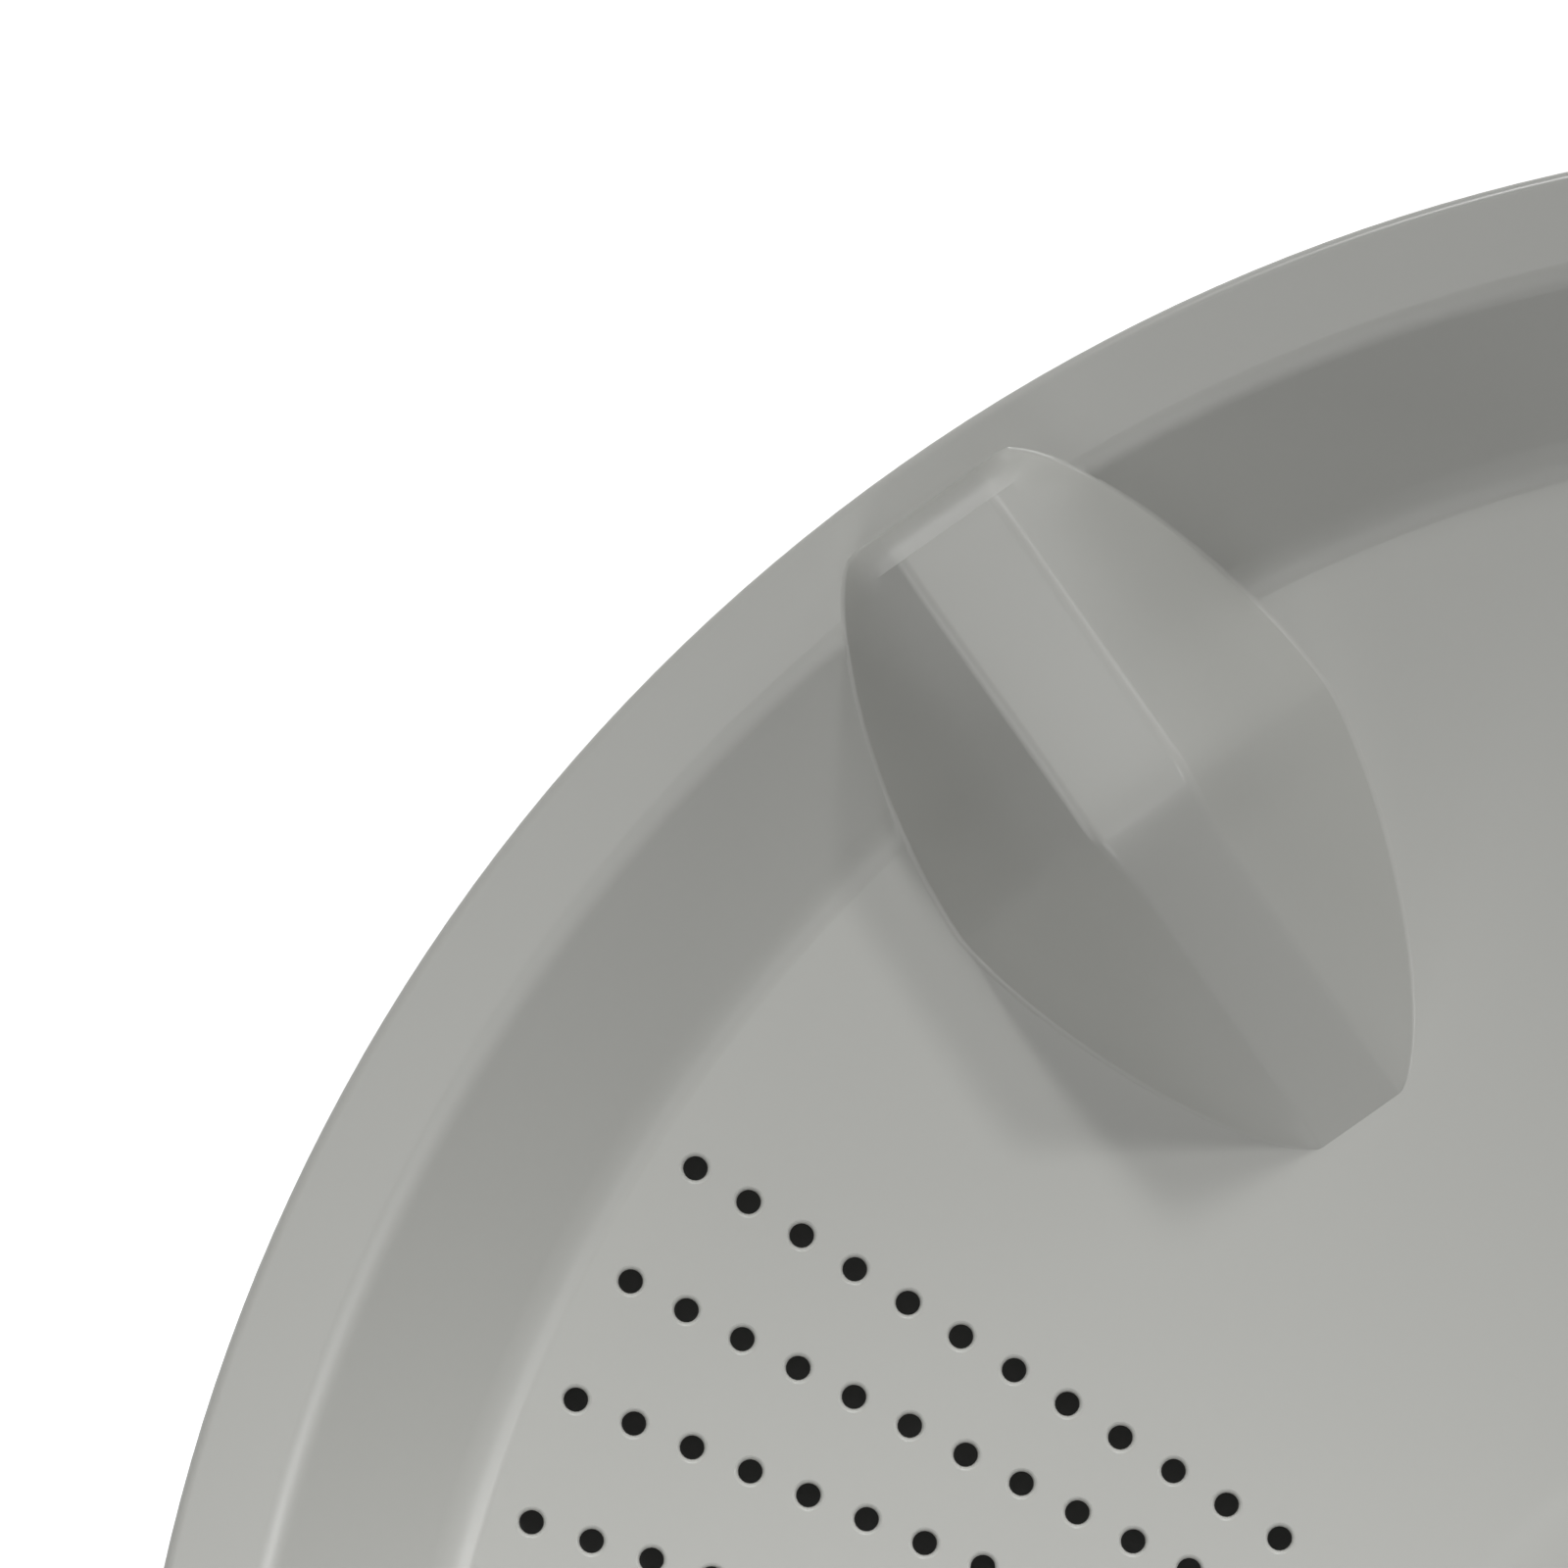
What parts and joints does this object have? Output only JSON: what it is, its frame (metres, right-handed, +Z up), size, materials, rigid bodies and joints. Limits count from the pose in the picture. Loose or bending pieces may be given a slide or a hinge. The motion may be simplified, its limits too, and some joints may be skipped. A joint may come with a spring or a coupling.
{
  "type": "washing machine pulsator",
  "caption": "Round one-piece washing machine pulsator: a perforated dish with hollow leaf-shaped fins and a serrated drive socket.",
  "frame": {"origin": "on the axis of rotation, level with the lower edge of the skirt", "axes": "+Z up along the axis of rotation; +X along the crest of one fin"},
  "size_m": [0.36, 0.36, 0.0371],
  "materials": {
    "moulding": "satin"
  },
  "bodies": {
    "root": {"pulsator": "moulding"}
  },
  "joints": []
}
